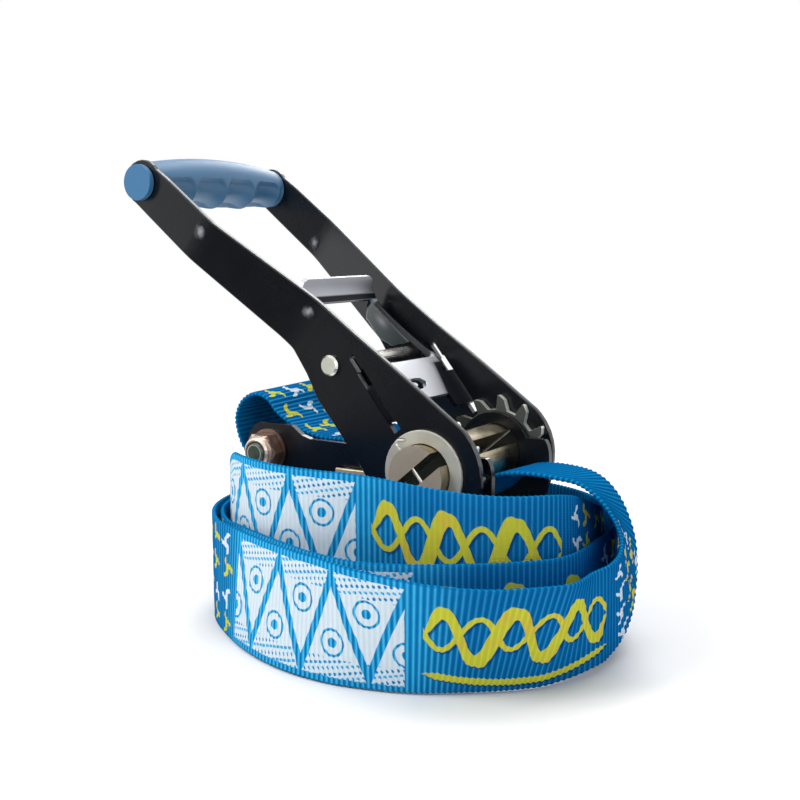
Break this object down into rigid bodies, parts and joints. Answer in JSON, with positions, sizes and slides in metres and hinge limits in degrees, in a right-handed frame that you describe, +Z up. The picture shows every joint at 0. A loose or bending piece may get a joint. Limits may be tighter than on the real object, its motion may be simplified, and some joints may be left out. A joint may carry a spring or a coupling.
{
  "type": "slackline",
  "caption": "Ratchet slackline: sprung ratchet with a hinged grip handle, standing in its own wound printed webbing strap.",
  "frame": {"origin": "centre of the object's box in X and Y, at its lowest point, where the webbing stands", "axes": "+Z up, +X from the bolt end to the spindle end of the ratchet, +Y along the spindle to the far side"},
  "size_m": [0.2488, 0.1686, 0.2137],
  "materials": {
    "frame": "gloss black paint",
    "bolt": "zinc-plated steel",
    "bolt_washer": "zinc-plated steel",
    "lock_nut": "yellow zinc",
    "spacer_sleeve": "plain steel",
    "spindle_half_upper": "yellow zinc",
    "spindle_half_lower": "yellow zinc",
    "ratchet_wheel_near": "yellow zinc",
    "ratchet_wheel_far": "yellow zinc",
    "retaining_washer_near": "zinc-plated steel",
    "retaining_washer_far": "zinc-plated steel",
    "cotter_pin_near": "zinc-plated steel",
    "cotter_pin_far": "zinc-plated steel",
    "handle_arm_near": "gloss black paint",
    "handle_arm_far": "gloss black paint",
    "cross_rod": "zinc-plated steel",
    "grip_rod": "plain steel",
    "grip": "blue moulded plastic",
    "end_cap_near": "blue moulded plastic",
    "end_cap_far": "blue moulded plastic",
    "release_slide": "zinc-plated steel",
    "release_spring": "bright spring wire",
    "lock_pawl": "yellow zinc",
    "lock_spring": "bright spring wire",
    "webbing_eye": "ribbed polyester webbing",
    "webbing_arch": "ribbed polyester webbing",
    "webbing_winding": "ribbed polyester webbing"
  },
  "bodies": {
    "base": {"frame": "frame", "bolt": "bolt", "bolt_washer": "bolt_washer", "lock_nut": "lock_nut", "spacer_sleeve": "spacer_sleeve", "lock_spring": "lock_spring", "webbing_eye": "webbing_eye", "webbing_arch": "webbing_arch", "webbing_winding": "webbing_winding"},
    "handle": {"handle_arm_near": "handle_arm_near", "handle_arm_far": "handle_arm_far", "cross_rod": "cross_rod", "grip_rod": "grip_rod", "grip": "grip", "end_cap_near": "end_cap_near", "end_cap_far": "end_cap_far", "release_spring": "release_spring"},
    "spindle": {"spindle_half_upper": "spindle_half_upper", "spindle_half_lower": "spindle_half_lower", "ratchet_wheel_near": "ratchet_wheel_near", "ratchet_wheel_far": "ratchet_wheel_far", "retaining_washer_near": "retaining_washer_near", "retaining_washer_far": "retaining_washer_far", "cotter_pin_near": "cotter_pin_near", "cotter_pin_far": "cotter_pin_far"},
    "release": {"release_slide": "release_slide"},
    "lock": {"lock_pawl": "lock_pawl"}
  },
  "joints": [
    {"name": "handle_swing", "type": "hinge", "parent": "base", "child": "handle", "pos_m": [0.03462, 0.02113, 0.07371], "axis": [0, 1, 0], "range_deg": [-20, 100]},
    {"name": "spindle_turn", "type": "hinge", "parent": "base", "child": "spindle", "pos_m": [0.03462, 0.02113, 0.07371], "axis": [0, 1, 0], "continuous": true},
    {"name": "release_pull", "type": "slide", "parent": "handle", "child": "release", "axis": [-0.615, 0, 0.7885], "range_m": [0, 0.007], "stiffness_N_per_m": 900, "springref_m": -0.008, "deforming": ["release_spring"]},
    {"name": "lock_pull", "type": "slide", "parent": "base", "child": "lock", "axis": [-1, 0, 0], "range_m": [0, 0.005], "stiffness_N_per_m": 1200, "springref_m": -0.006, "deforming": ["lock_spring"]}
  ]
}
